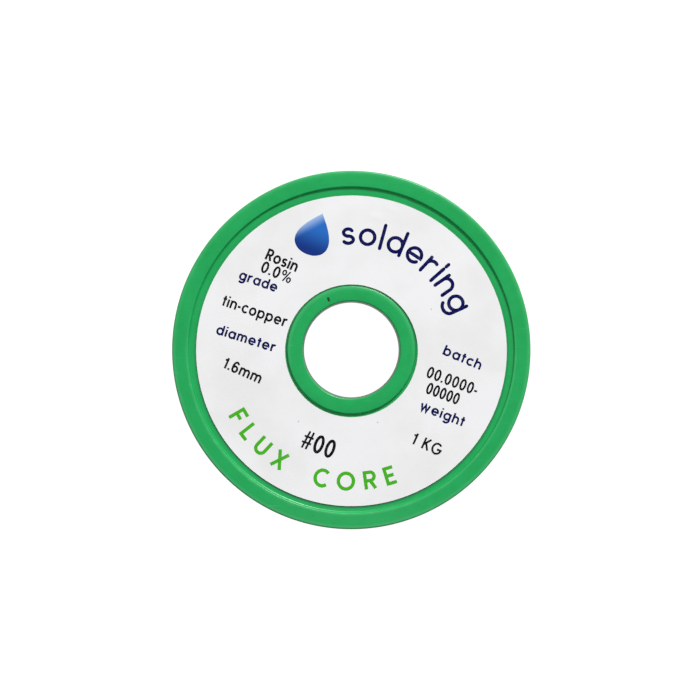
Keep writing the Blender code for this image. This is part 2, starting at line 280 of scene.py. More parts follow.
def labelFinish(look):
    finish = Finish("labelPaper", Specular_IOR_Level=0.3)
    place = finish.place()
    drawn = finish.stretched(place, (1.0, 2.2, 1.0), (0, 0, 0.4))
    fibre = finish.noise(drawn, look["fibreScale"], 4.0, 0.6)
    cloud = finish.noise(place, look["cloudScale"], 4.0, 0.55)
    colour = finish.mix(cloud.ramp(0.35, 0.75, 0.0, 0.8), look["colour"], look["shade"])
    colour = finish.mix(fibre.ramp(0.45, 0.8, 0.0, 0.25), colour, look["shade"])
    for x, y in look["specks"]:
        off = finish.away(place, (x * mm, y * mm, spoolHeight - look["below"]))
        speck = off.fall(look["speckRadius"] * 0.6, look["speckRadius"] * 1.3, 0.75)
        colour = finish.mix(speck, colour, look["speckShade"])
    finish.paint(
        Base_Color=colour,
        Roughness=fibre * 0.16 + cloud * 0.10 + (look["roughness"] - 0.13),
        Normal=finish.bump(fibre * look["fibreHeight"] + cloud * look["cloudHeight"], 1.0, 0.8),
    )
    return finish.material


inkLook = dict(
    black=(0.003, 0.003, 0.004), navy=(0.001, 0.003, 0.075), green=(0.058, 0.42, 0.012),
    faded=(0.62, 0.62, 0.62), roughness=0.4, screenScale=1500.0, coverScale=160.0,
)


def inkFinish(colour, look):
    finish = Finish(colour + "Ink", Specular_IOR_Level=0.08)
    place = finish.place()
    screen = finish.noise(place, look["screenScale"], 2.0)  # the printing's fine mottle
    cover = finish.noise(place, look["coverScale"], 3.0)
    share = screen.ramp(0.5, 0.8, 0.0, 0.05) + cover.ramp(0.55, 0.8, 0.0, 0.04)
    finish.paint(
        Base_Color=finish.mix(share, look[colour], look["faded"]),
        Roughness=screen * 0.14 + cover * 0.1 + (look["roughness"] - 0.12),
        Normal=finish.bump(screen, 0.003 * mm, 0.6),
    )
    return finish.material


dropLook = dict(
    low=(0.006, 0.03, 0.20), mid=(0.02, 0.14, 0.50), high=(0.50, 0.66, 0.88), roughness=0.39,
)


def dropFinish(look, size):  # darker at its round foot, paler at one shoulder
    finish = Finish("dropInk", Specular_IOR_Level=0.12)
    place = finish.place()
    spot = finish.parts(place)
    tilt = math.radians(size["tilt"])
    upX, upY = -math.sin(tilt), math.cos(tilt)
    x, y = spot.pick("X") - size["x"], spot.pick("Y") - size["y"]
    level = (x * upX + y * upY) / size["reach"]
    aside = (x * upY - y * upX) / size["reach"]
    colour = finish.mix(level.ramp(-0.9, 0.35), look["low"], look["mid"])
    shoulder = (level * 0.8 - aside * 0.9).ramp(0.15, 1.0, 0.0, 0.85)
    screen = finish.noise(place, inkLook["screenScale"], 2.0)
    finish.paint(
        Base_Color=finish.mix(shoulder, colour, look["high"]),
        Roughness=screen * 0.14 + (look["roughness"] - 0.07),
        Normal=finish.bump(screen, 0.003 * mm, 0.6),
    )
    return finish.material


solderLook = dict(
    bright=(0.66, 0.655, 0.64), dull=(0.47, 0.47, 0.465), stain=(0.33, 0.325, 0.31), roughness=0.33,
    # scales along the wire and round it
    drawnScale=(90.0, 26.0, 1.0), fineScale=(420.0, 60.0, 1.0), lengthScale=(7.0, 1.5, 1.0),
    tarnishScale=85.0,
)


def solderFinish(name, look, mapName=None):
    finish = Finish(name, Metallic=1.0)
    place = finish.place()
    run = finish.run(mapName) if mapName else place  # metres along the wire, and once round it
    drawn = finish.noise(finish.stretched(run, look["drawnScale"]), 1.0, 3.0, 0.6)
    fine = finish.noise(finish.stretched(run, look["fineScale"]), 1.0, 2.0)
    length = finish.noise(finish.stretched(run, look["lengthScale"]), 1.0, 2.0)
    tarnish = finish.noise(place, look["tarnishScale"], 4.0, 0.6)
    colour = finish.mix(length.ramp(0.35, 0.7), look["bright"], look["dull"])
    colour = finish.mix(drawn.ramp(0.5, 0.8, 0.0, 0.35), colour, look["dull"])
    colour = finish.mix(tarnish.ramp(0.58, 0.8, 0.0, 0.5), colour, look["stain"])
    finish.paint(
        Base_Color=colour,
        Roughness=drawn * 0.22 + fine * 0.10 + tarnish * 0.12 + (look["roughness"] - 0.2),
        Normal=finish.bump(drawn * (0.02 * mm) + fine * (0.008 * mm), 1.0, 0.8),
    )
    return finish.material


resinLook = dict(dark=(0.30, 0.12, 0.02), clear=(0.62, 0.33, 0.07), crackleScale=3200.0)


def resinFinish(look):
    finish = Finish("fluxResin", Coat_Weight=0.4, Coat_Roughness=0.1)
    crackle = finish.noise(finish.place(), look["crackleScale"], 3.0)
    finish.paint(
        Base_Color=finish.mix(crackle.ramp(0.35, 0.7), look["dark"], look["clear"]),
        Roughness=crackle * 0.3 + 0.1,
        Normal=finish.bump(crackle, 0.03 * mm, 0.8),
    )
    return finish.material


tapeLook = dict(
    colour=(0.72, 0.60, 0.40), pale=(0.80, 0.71, 0.53), ridge=0.55 * mm,
    wobble=16.0, wobbleScale=(1300.0, 420.0, 1.0), fibreScale=2600.0,
)


def tapeFinish(look):  # crepe paper: wrinkles along the spool's axis, uneven and broken
    finish = Finish("crepeTape", Specular_IOR_Level=0.2)
    run = finish.run("tapeRun")
    aside = finish.parts(run).pick("X")
    wobble = finish.noise(finish.stretched(run, look["wobbleScale"]), 1.0, 3.0) * look["wobble"]
    ridge = (aside * (2 * math.pi / look["ridge"]) + wobble).wave() * 0.5 + 0.5
    fibre = finish.noise(finish.place(), look["fibreScale"], 3.0)
    finish.paint(
        # The crepe's troughs are painted darker than its crests: painted shade in the folds and painted
        # highlight on the ridges.
        Base_Color=finish.mix(ridge * 0.45 + fibre * 0.4, look["colour"], look["pale"]),
        Roughness=fibre * 0.2 + ridge * 0.08 + 0.6,
        Normal=finish.bump(ridge * (0.035 * mm) + fibre * (0.02 * mm), 1.0, 0.9),
    )
    return finish.material


def unit(rows):  # each row at length 1
    return rows / np.linalg.norm(rows, axis=1, keepdims=True)


def smoothStep(share):  # 3 s^2 - 2 s^3 between 0 and 1, flat outside
    share = np.clip(share, 0, 1)
    return share * share * (3 - 2 * share)


def rowsOf(*grids):  # a row for each grid point
    return np.stack(np.broadcast_arrays(*grids), -1).reshape(-1, len(grids))


def gridFaces(rows, columns, wrapRows=False, wrapColumns=False):
    # Quads between neighbours on a grid whose point number is row * columns + column.
    row = np.arange(rows if wrapRows else rows - 1)[:, None]
    column = np.arange(columns if wrapColumns else columns - 1)[None, :]
    nextRow = (row + 1) % rows
    nextColumn = (column + 1) % columns
    here, below = row * columns, nextRow * columns
    return rowsOf(here + column, below + column, below + nextColumn, here + nextColumn)


def inScene(name, data):
    made = bpy.data.objects.new(name, data)
    bpy.context.scene.collection.objects.link(made)
    return made


def newPiece(name, points, faces, material, sharp=50):  # sharp from this angle
    mesh = bpy.data.meshes.new(name)
    mesh.from_pydata(np.asarray(points).tolist(), [], [list(face) for face in faces])
    mesh.materials.append(material)
    mesh.shade_smooth()
    mesh.set_sharp_from_angle(angle=math.radians(sharp))
    piece = inScene(name, mesh)
    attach(piece, "root")
    return piece


def addMap(piece, name, uv):  # u and v of each face corner
    piece.data.uv_layers.new(name=name).data.foreach_set("uv", uv.astype(np.float32).ravel())


def roundedOutline(corners, longest=2.0 * mm, arcPoints=7):
    # corners are rows of r, z and rounding. Each corner becomes an arc whose centre lies on the
    # bisector at rounding / sin(half angle), and long straight runs are cut into equal steps.
    corners = np.array(corners)
    point, rounding = corners[:, :2], corners[:, 2:]
    before = unit(np.roll(point, 1, 0) - point)
    after = unit(np.roll(point, -1, 0) - point)
    half = np.arccos(np.clip((before * after).sum(1, keepdims=True), -1, 1)) / 2
    centre = point + unit(before + after) * rounding / np.sin(half)
    first = point + before * rounding / np.tan(half) - centre
    last = point + after * rounding / np.tan(half) - centre
    start = np.arctan2(first[:, 1], first[:, 0])
    sweep = (np.arctan2(last[:, 1], last[:, 0]) - start + np.pi) % (2 * np.pi) - np.pi
    angle = start[:, None] + sweep[:, None] * np.linspace(0, 1, arcPoints)
    arcs = centre[:, None] + rounding[:, None] * np.stack([np.cos(angle), np.sin(angle)], -1)
    arcs = arcs.reshape(-1, 2)
    step = np.roll(arcs, -1, 0) - arcs
    count = np.maximum(np.ceil(np.linalg.norm(step, axis=1) / longest), 1).astype(int)
    which = np.repeat(np.arange(len(arcs)), count)
    share = np.arange(len(which)) - np.repeat(np.cumsum(count) - count, count)
    return arcs[which] + step[which] * (share / count[which])[:, None]


def turnedPoints(outline, count):
    # Each outline point goes round Z: x = r cos a, y = r sin a, with a in equal steps.
    angle = (np.arange(count) * 2 * np.pi / count)[:, None]
    radius, z = outline.T
    return rowsOf(radius * np.cos(angle), radius * np.sin(angle), z)


halfSizes = dict(
    around=360, bore=15.0 * mm, boreTube=16.8 * mm, hub=19.7 * mm, barrelInside=21.0 * mm,
    barrel=23.0 * mm, step=49.75 * mm, rimEdge=50.15 * mm, recess=0.8 * mm, cap=2.2 * mm,
    flange=3.6 * mm, capEdge=17.9 * mm, joint=22.85 * mm,
    spigot=(21.84 * mm, 26.0 * mm), socket=(22.14 * mm, 19.7 * mm),  # radius, and where it ends
    boreDraft=0.05 * mm, ribCount=6, ribThickness=1.4 * mm, ribDraft=0.2 * mm, ribTop=18.5 * mm,
    ribIntoTube=0.9 * mm, ribIntoBarrel=0.5 * mm,
)


def halfCorners(size, innerRadius, innerEnd):
    # r, z and rounding of each corner, flange down, from the barrel's root round to its end.
    return [
        (size["barrel"], size["flange"], 0.5 * mm),
        (flangeRadius, size["flange"], 0.6 * mm),
        (flangeRadius, 0, 0.6 * mm),
        (size["rimEdge"], 0, 0.3 * mm),
        (size["step"], size["recess"], 0.7 * mm),
        (size["hub"], size["recess"], 0.1 * mm),
        (size["hub"], 0, 0.5 * mm),
        (size["bore"], 0, 0.4 * mm),
        (size["bore"] - size["boreDraft"], size["joint"], 0.15 * mm),
        (size["boreTube"], size["joint"], 0.15 * mm),
        (size["boreTube"], size["cap"], 0.4 * mm),
        (size["capEdge"], size["cap"], 0.3 * mm),
        (size["capEdge"] + size["flange"] - size["cap"], size["flange"], 0.3 * mm),
        (size["barrelInside"], size["flange"], 0.4 * mm),
        (size["barrelInside"], innerEnd, 0.1 * mm),
        (innerRadius, innerEnd, 0.2 * mm),
        (innerRadius, size["joint"], 0.1 * mm),
        (size["barrel"], size["joint"], 0.15 * mm),
    ]


def ribPoints(size):
    # Each rib is a tapered bar, wider at its foot, turned about Z by its share of a circle.
    inner = size["boreTube"] - size["ribIntoTube"]
    outer = size["barrelInside"] + size["ribIntoBarrel"]
    foot, top = size["cap"] / 2, size["ribTop"]
    wide, thin = size["ribThickness"] / 2, size["ribThickness"] / 2 - size["ribDraft"]
    section = np.array([(inner, -1), (outer, -1), (outer, 1), (inner, 1)])
    low = np.column_stack([section[:, 0], section[:, 1] * wide, np.full(4, foot)])
    high = np.column_stack([section[:, 0], section[:, 1] * thin, np.full(4, top)])
    bar = np.vstack([low, high])
    turn = np.arange(size["ribCount"]) * 2 * np.pi / size["ribCount"]
    cos, sin = np.cos(turn)[:, None], np.sin(turn)[:, None]
    x = bar[None, :, 0] * cos - bar[None, :, 1] * sin
    y = bar[None, :, 0] * sin + bar[None, :, 1] * cos
    sides = gridFaces(2, 4, wrapColumns=True)[:, ::-1]
    box = np.vstack([sides, [[3, 2, 1, 0]], [[4, 5, 6, 7]]])
    faces = (box[None] + 8 * np.arange(size["ribCount"])[:, None, None]).reshape(-1, 4)
    return rowsOf(x, y, bar[:, 2]), faces


def spoolHalf(name, node, size, fitting, material, turnedOver):
    # The rounded outline turned about Z, with the ribs. The front half is the same shape, mirrored
    # in height.
    outline = roundedOutline(halfCorners(size, *fitting))
    points = turnedPoints(outline, size["around"])
    faces = gridFaces(size["around"], len(outline), True, True)
    ribs, ribFaces = ribPoints(size)
    faces = np.vstack([faces[:, ::-1], ribFaces + len(points)])
    points = np.vstack([points, ribs])
    if turnedOver:
        points[:, 2] = spoolHeight - points[:, 2]
        faces = faces[:, ::-1]
    piece = newPiece(name, points, faces, material, 40)
    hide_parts(node)


stubSizes = dict(
    radius=0.42 * mm, height=0.06 * mm, sunk=0.03 * mm, circle=17.0 * mm, angle=114.5,
    rings=7, around=18, narrow=0.8, long=1.4,
)


def gateStub(size, material):
    # A torn stub: height falls as a half cosine from its middle, with a rough rim.
    share = np.linspace(0, 1, size["rings"])[:, None]
    angle = np.arange(size["around"]) * 2 * np.pi / size["around"]
    rough = 1 + 0.22 * np.sin(3 * angle + 1) + 0.12 * np.sin(7 * angle)
    radius = size["radius"] * share * rough
    height = size["height"] * (0.5 + 0.5 * np.cos(np.pi * share)) * (1 + 0.4 * np.sin(2 * angle))
    centre = math.radians(size["angle"])
    x = size["circle"] * math.cos(centre) + radius * np.cos(angle) * size["narrow"]
    y = size["circle"] * math.sin(centre) + radius * np.sin(angle) * size["long"]
    points = rowsOf(x, y, spoolHeight + (height - size["sunk"]))
    faces = gridFaces(size["rings"], size["around"], wrapColumns=True)
    newPiece("gateStub", points, faces, material)


labelLow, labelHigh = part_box("front_label")
labelSizes = dict(
    outer=labelHigh.x + 0.05 * mm, inner=20.35 * mm, around=540, rings=48, wave=0.012 * mm,
    # creases: x, y, direction in degrees, length, width, height
    creases=((7.9, 40.7, -12, 2.4, 0.9, 0.05), (12.6, 43.0, -28, 1.8, 0.8, 0.05),
             (0.6, 43.5, 65, 3.2, 1.2, 0.035), (-3.0, -41.5, 80, 3.5, 1.3, 0.035),
             (28.0, 31.0, 40, 5.0, 1.5, 0.03), (-38.0, 20.0, 70, 4.5, 1.6, 0.03)),
)


def labelLift(x, y):
    # How far the paper stands off flat: a few slow waves, and creases that are ridges with
    # a Gaussian fall along and across.
    size = labelSizes
    lift = size["wave"] * (np.sin(95 * x + 30 * y) + np.sin(140 * y - 60 * x + 1.3))
    for cx, cy, turn, length, width, height in size["creases"]:
        c, s = math.cos(math.radians(turn)), math.sin(math.radians(turn))
        along = ((x - cx * mm) * c + (y - cy * mm) * s) / (length * mm)
        across = ((y - cy * mm) * c - (x - cx * mm) * s) / (width * mm)
        lift = lift + height * mm * np.exp(-(along**2) - across**2)
    return lift


def paperLabel(size, material):
    # Round Z: the top follows labelLift, the underside is flat and the edges are square.
    angle = (np.arange(size["around"]) * 2 * np.pi / size["around"])[:, None]
    radius = np.linspace(size["inner"], size["outer"], size["rings"])[None]
    shiftX, shiftY = labelShift
    topX, topY = shiftX + radius * np.cos(angle), shiftY + radius * np.sin(angle)
    topZ = labelHigh.z + labelLift(topX, topY)
    ends = np.array([[size["outer"], size["inner"]]])
    footX, footY = shiftX + ends * np.cos(angle), shiftY + ends * np.sin(angle)
    footZ = np.full_like(footX, labelLow.z)
    points = rowsOf(*[np.hstack(pair) for pair in ((topX, footX), (topY, footY), (topZ, footZ))])
    faces = gridFaces(size["around"], size["rings"] + 2, True, True)
    piece = newPiece("ringLabel", points, faces[:, ::-1], material)
    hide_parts("front_label")


inkSizes = dict(
    above=0.014 * mm, below=0.006 * mm, strokeStep=0.0012 * mm,
    space=0.34, gap=0.17, fine=0.7,  # shares of the capital height, and of the thickness of "%" and "#"
    capMiddle=0.5, smallMiddle=0.36, arcSpace=0.45,
    # words: text, x, y, capital height and whole width in mm, line thickness, turn
    black=(("Rosin", -21.2, 27.8, 3.5, 10.4, 0.19, -23), ("0.0%", -22.9, 24.1, 3.5, 9.9, 0.185, -23),
           ("tin-copper", -29.7, 11.8, 3.4, 20.8, 0.18, -19),
           ("1.6mm", -33.3, -6.0, 3.4, 12.5, 0.185, -24),
           ("#00", -10.0, -28.7, 5.6, 10.4, 0.16, -21), ("00.0000-", 31.0, -9.2, 3.5, 16.4, 0.175, -20.5),
           ("00000", 28.1, -13.1, 3.5, 10.6, 0.175, -20.5), ("1 KG", 23.3, -28.7, 3.6, 9.8, 0.17, -25)),
    navy=(("grade", -28.6, 21.1, 3.1, 12.3, 0.2, -19.5), ("diameter", -32.4, 3.5, 3.1, 18.9, 0.2, -17.5),
          ("batch", 34.0, -2.4, 3.1, 12.5, 0.2, -23), ("weight", 27.8, -19.6, 3.1, 14.4, 0.2, -21.5)),
    # lettering round an arc: text, middle radius, first and last angle, capital height, thickness
    topArc=("soldering", 35.2, 91.5, 24.5, 7.3, 0.145),
    footArc=("FLUX CORE", 40.0, 210.0, 287.0, 5.5, 0.19),
)

# Letters as pen strokes, where a capital is 1 high and x is 0.72. Two numbers are a point, and
# six are an arc: its middle, its two radii and the angles it runs between.
bowl = [(0.36, 0.36, 0.3, 0.3, 0, 360)]
stem, shortStem = [(0.06, 0), (0.06, 1)], [(0.06, 0), (0.06, 0.72)]
arch = [(0.32, 0.4, 0.26, 0.26, 180, 0), (0.58, 0)]
glyphs = {
    "a": [bowl, [(0.66, 0), (0.66, 0.72)]],
    "b": [bowl, stem],
    "c": [[(0.36, 0.36, 0.3, 0.3, 44, 316)]],
    "d": [bowl, [(0.66, 0), (0.66, 1)]],
    "e": [[(0.06, 0.35), (0.66, 0.35), (0.36, 0.36, 0.3, 0.3, 6, 318)]],
    "g": [bowl, [(0.66, 0.72), (0.36, 0.02, 0.3, 0.26, 0, -145)]],
    "h": [stem, arch],
    "i": [shortStem, [(0.06, 0.86), (0.06, 1)]],
    "l": [stem],
    "m": [shortStem, [(0.28, 0.44, 0.22, 0.22, 180, 0), (0.5, 0)],
          [(0.72, 0.44, 0.22, 0.22, 180, 0), (0.94, 0)]],
    "n": [shortStem, arch],
    "o": [bowl],
    "p": [bowl, [(0.06, -0.28), (0.06, 0.72)]],
    "r": [shortStem, [(0.32, 0.38, 0.26, 0.28, 180, 68)]],
    "s": [[(0.27, 0.51, 0.19, 0.15, 30, 270)], [(0.27, 0.21, 0.21, 0.15, 90, -150)]],
    "t": [[(0.2, 0), (0.2, 0.94)], [(0, 0.66), (0.4, 0.66)]],
    "w": [[(0.02, 0.72), (0.24, 0.05), (0.46, 0.66), (0.68, 0.05), (0.9, 0.72)]],
    "C": [[(0.46, 0.5, 0.4, 0.44, 46, 314)]],
    "G": [[(0.46, 0.5, 0.4, 0.44, 46, 352), (0.86, 0.46), (0.5, 0.46)]],
    "K": [[(0.08, 0), (0.08, 1)], [(0.58, 1), (0.1, 0.38)], [(0.25, 0.57), (0.62, 0)]],
    "E": [[(0.56, 0.93), (0.08, 0.93), (0.08, 0.07), (0.58, 0.07)], [(0.08, 0.5), (0.52, 0.5)]],
    "F": [[(0.56, 0.93), (0.08, 0.93), (0.08, 0)], [(0.08, 0.5), (0.5, 0.5)]],
    "L": [[(0.08, 1), (0.08, 0.07), (0.54, 0.07)]],
    "O": [[(0.48, 0.5, 0.42, 0.44, 0, 360)]],
    "R": [[(0.08, 0), (0.08, 0.93), (0.38, 0.7, 0.22, 0.23, 90, -90), (0.08, 0.47)],
          [(0.34, 0.47), (0.6, 0)]],
    "U": [[(0.08, 1), (0.36, 0.35, 0.28, 0.28, 180, 360), (0.64, 1)]],
    "X": [[(0.03, 1), (0.61, 0)], [(0.61, 1), (0.03, 0)]],
    "0": [[(0.3, 0.5, 0.24, 0.44, 0, 360)]],
    "1": [[(0.3, 0), (0.3, 1)], [(0.06, 0.74), (0.3, 0.84)]],
    "6": [[(0.31, 0.3, 0.24, 0.25, 0, 360)], [(0.33, 0.48, 0.26, 0.46, 40, 190)]],
    "%": [[(0.2, 0.74, 0.16, 0.2, 0, 360)], [(0.8, 0.26, 0.16, 0.2, 0, 360)], [(0.7, 1), (0.3, 0)]],
    "#": [[(0.16, 0), (0.32, 1)], [(0.44, 0), (0.6, 1)], [(0.06, 0.67), (0.72, 0.67)],
          [(0.02, 0.34), (0.68, 0.34)]],
    "-": [[(0.04, 0.36), (0.36, 0.36)]],
    ".": [[(0.06, 0), (0.06, 0.17)]],
    " ": [],
}


def penPath(stroke):
    # The stroke's points, with each arc cut into steps of about ten degrees.
    points = []
    for item in stroke:
        if len(item) == 2:
            points.append(np.array([item]))
            continue
        x, y, rx, ry, start, end = item
        angle = np.radians(np.linspace(start, end, max(round(abs(end - start) / 10), 2) + 1))
        points.append(np.column_stack([x + rx * np.cos(angle), y + ry * np.sin(angle)]))
    path = np.vstack(points)
    fresh = np.append(True, np.linalg.norm(np.diff(path, axis=0), axis=1) > 1e-6)
    path = path[fresh]
    closed = len(stroke) == 1 and len(stroke[0]) == 6 and abs(stroke[0][5] - stroke[0][4]) == 360
    return (path[:-1] if closed else path), closed


def inkStroke(path, closed, half, rounded):
    # A flat ribbon of quads along the path. At each point the two sides stand off by half the
    # thickness along the mitre, and a rounded end narrows as a cosine over half the thickness.
    step = unit(np.roll(path, -1, 0) - path)
    before, after = np.roll(step, 1, 0), step.copy()
    if not closed:
        before[0], after[-1] = after[0], before[-1]
    normal = unit((before + after)[:, ::-1] * (-1, 1))
    lean = np.abs(normal[:, 1] * after[:, 0] - normal[:, 0] * after[:, 1])
    side = normal * half / np.maximum(lean, 0.35)[:, None]
    left, right = path + side, path - side
    if rounded and not closed:
        turn = np.radians([30, 60, 82])[:, None]
        first, firstReach = path[0] - before[0] * half * np.sin(turn), side[0] * np.cos(turn)
        last, lastReach = path[-1] + after[-1] * half * np.sin(turn), side[-1] * np.cos(turn)
        left = np.vstack([(first + firstReach)[::-1], left, last + lastReach])
        right = np.vstack([(first - firstReach)[::-1], right, last - lastReach])
    flat = np.stack([left, right], 1).reshape(-1, 2)
    quads = gridFaces(len(left), 2, wrapRows=closed)
    return flat, np.vstack([quads[:, [0, 1, 2]], quads[:, [0, 2, 3]]])


def letterShapes(letter, height, thickness, rounded=False, wide=1.0):
    # The letter's strokes with its left side at 0, and its width.
    shapes = []
    thickness *= inkSizes["fine"] if letter in "%#" else 1
    for stroke in glyphs[letter]:
        path, closed = penPath(stroke)
        shapes.append(inkStroke(path * (height * wide, height), closed, thickness * height / 2, rounded))
    if not shapes:
        return shapes, wide * height * inkSizes["space"]
    reach = np.vstack([flat for flat, _ in shapes])
    low = reach[:, 0].min()
    return [(flat - (low, 0), faces) for flat, faces in shapes], np.ptp(reach[:, 0])


def turnedFlat(flat, turn, x, y):  # turned by degrees about 0, then moved
    c, s = math.cos(math.radians(turn)), math.sin(math.radians(turn))
    return flat @ np.array([[c, s], [-s, c]]) + (x, y)


def wordSet(words):
    # Letters stand on one line. A squeeze in x and even gaps make up the asked width.
    placed = []
    for text, x, y, height, width, thickness, tilt in words:
        height, width = height * mm, width * mm
        letters = [letterShapes(letter, height, thickness) for letter in text]
        gap = inkSizes["gap"] * height
        natural = sum(wide for _, wide in letters) + gap * (len(text) - 1)
        squeeze = min(width / natural, 1.0)
        letters = [letterShapes(letter, height, thickness, wide=squeeze) for letter in text]
        gap = (width - sum(wide for _, wide in letters)) / (len(text) - 1)
        run = -width / 2
        small = not any(letter.isdigit() or letter.isupper() for letter in text)
        middle = inkSizes["smallMiddle" if small else "capMiddle"]
        for shapes, wide in letters:
            for flat, faces in shapes:
                placed.append((turnedFlat(flat + (run, -middle * height), tilt, x * mm, y * mm), faces))
            run += wide + gap
    return placed


def arcLetters(text, radius, first, last, height, thickness, rounded=False):
    # Letters share the arc by their widths, each turned about its own middle. Their feet point
    # to the middle of the spool when the arc runs clockwise, and away from it otherwise.
    height, radius = height * mm, radius * mm
    letters = [letterShapes(letter, height, thickness, rounded) for letter in text]
    wide = np.array([one[1] for one in letters])
    wide += np.array([letter == " " for letter in text]) * inkSizes["arcSpace"] * height
    run = np.cumsum(wide) - wide / 2
    spare = math.radians(abs(last - first)) * radius - (run[-1] - run[0])
    at = (run - run[0] + np.arange(len(text)) * spare / (len(text) - 1)) / radius
    sense = math.copysign(1, last - first)
    middle = inkSizes["smallMiddle" if text.islower() else "capMiddle"]
    placed = []
    for (shapes, width), angle in zip(letters, math.radians(first) + sense * at):
        turn = math.degrees(angle) + 90 * sense
        x, y = radius * math.cos(angle), radius * math.sin(angle)
        placed += [(turnedFlat(flat - (width / 2, middle * height), turn, x, y), faces)
                   for flat, faces in shapes]
    return placed


def inkPiece(name, placed, material):
    # Thin solids on the paper: the flat shape twice, above and below it, with walls between.
    points, faces, used = [], [], 0
    for number, (flat, triangles) in enumerate(placed):
        flat = flat + labelShift
        lift = labelHigh.z + labelLift(flat[:, 0], flat[:, 1]) + number % 4 * inkSizes["strokeStep"]
        count = len(flat)
        top = np.column_stack([flat, lift + inkSizes["above"]])
        foot = np.column_stack([flat, lift - inkSizes["below"]])
        a, b, c = flat[triangles[:, 0]], flat[triangles[:, 1]], flat[triangles[:, 2]]
        area = (b[:, 0] - a[:, 0]) * (c[:, 1] - a[:, 1]) - (b[:, 1] - a[:, 1]) * (c[:, 0] - a[:, 0])
        triangles = np.where((area < 0)[:, None], triangles[:, ::-1], triangles)
        edges = np.vstack([triangles[:, [0, 1]], triangles[:, [1, 2]], triangles[:, [2, 0]]])
        lone = ~np.isin(edges[:, 0] * count + edges[:, 1], edges[:, 1] * count + edges[:, 0])
        start, end = edges[lone].T
        walls = np.column_stack([start, start + count, end + count, end])
        points += [top, foot]
        faces += [*(triangles + used), *(triangles[:, ::-1] + count + used), *(walls + used)]
        used += 2 * count
    return newPiece(name, np.vstack(points), faces, material)


dropSizes = dict(x=-11.3 * mm, y=35.9 * mm, reach=6.7 * mm, width=1.06, shoulder=1.15, tilt=-21.5)


def dropShape(size):
    # A drop: height = cos a, half width = sin a times a power of sin(a / 2), filled with rings
    # that shrink to its heart.
    around, rings = 96, 10
    a = np.arange(around) * 2 * np.pi / around
    outline = np.column_stack([np.sin(a) * np.sin(a / 2) ** size["shoulder"] * size["width"], np.cos(a)])
    heart = np.array([0, -0.35])
    share = np.linspace(1, 0.08, rings)[:, None, None]
    flat = (heart + (outline - heart) * share).reshape(-1, 2) * size["reach"]
    quads = gridFaces(rings, around, wrapColumns=True)
    inner = (rings - 1) * around + np.arange(around)
    fan = np.column_stack([np.full(around, rings * around), inner, np.roll(inner, -1)])
    faces = np.vstack([quads[:, [0, 1, 2]], quads[:, [0, 2, 3]], fan])
    flat = np.vstack([flat, heart * size["reach"]])
    return turnedFlat(flat, size["tilt"], size["x"], size["y"]), faces


windingLow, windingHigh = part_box("solder_winding")
endLow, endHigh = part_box("wire_end")
wireSizes = dict(
    diameter=1.6 * mm, barrel=23.0 * mm, layers=16, turns=23, pitch=1.6255 * mm, layerPitch=1.44 * mm,
    loose=0.002 * mm, outerTurns=22, lastTurns=16, tipAngle=-58.0, endSweep=62.0, crossShare=0.2,
    endHeight=(endLow.z + endHigh.z) / 2, endRoom=1.15, gap=0.3 * mm, sink=0.06 * mm,
    coreRadius=0.33 * mm, coreGap=0.03 * mm, holeTaper=0.9, mapRadius=45 * mm,
    # rings a turn, and sides of the wire
    innerDetail=(36, 6), outerDetail=(144, 10),
)


def looseTurns(first, last, count):
    # Heights of turns that lie side by side with uneven gaps, from first to last.
    gap = rng.exponential(1.0, count - 1) ** 1.3
    least = wireSizes["diameter"] * 1.004
    spare = abs(last - first) - (count - 1) * least
    steps = least + gap / gap.sum() * spare
    return first + math.copysign(1, last - first) * np.concatenate([[0], np.cumsum(steps)])


def turnTable(size):
    # Height and radius of every turn in order. The layers run up and down in turn, each in the
    # grooves of the one below, and the last two are wound less evenly.
    low = windingLow.z + size["pitch"] / 2
    high = windingHigh.z - size["pitch"] / 2
    heights, radii = [], []
    for layer in range(size["layers"]):
        radius = size["barrel"] + size["gap"] + size["diameter"] / 2 + layer * size["layerPitch"]
        even = low + size["pitch"] * np.arange(size["turns"])
        if layer == size["layers"] - 1:
            lastHeight = size["endHeight"] + size["diameter"] * size["endRoom"]
            here = looseTurns(high, lastHeight, size["lastTurns"])
            here = np.append(here, size["endHeight"])
        elif layer == size["layers"] - 2:
            here = looseTurns(low, high, size["outerTurns"])
        else:
            here = even if layer % 2 == 0 else (even + size["pitch"] / 2)[::-1]
        heights.append(here)
        radii.append(np.full(len(here), radius))
    return np.concatenate(heights), np.concatenate(radii), [len(one) for one in heights]


def windingPath(size, t, heights, radii, counts):
    # t counts turns. Each turn is level, then steps over to the next turn's height and radius
    # on its last stretch. A turn of the last layer rides as high as the one below it asks.
    index = np.clip(np.floor(t).astype(int), 0, len(heights) - 1)
    after = np.minimum(index + 1, len(heights) - 1)
    share = smoothStep((t - index - (1 - size["crossShare"])) / size["crossShare"])
    z = heights[index] + (heights[after] - heights[index]) * share
    radius = radii[index] + (radii[after] - radii[index]) * share
    last = len(heights) - counts[-1]
    below = heights[last - counts[-2]:last]
    nextBelow = np.append(below[1:], below[-1])
    nearest = below + (nextBelow - below) * share[:, None]
    off = np.abs(z[:, None] - nearest).min(1)
    lift = np.sqrt(np.maximum((size["diameter"] + size["loose"]) ** 2 - off**2, 0))
    lift = np.maximum(lift, size["layerPitch"] - size["sink"]) + radii[last - 1]
    blend = smoothStep((t - last + 0.1) / 0.15)
    radius = radius + (lift - radius) * blend
    angle = np.radians(size["tipAngle"] - size["endSweep"]) + 2 * np.pi * t
    return np.column_stack([radius * np.cos(angle), radius * np.sin(angle), z]), angle


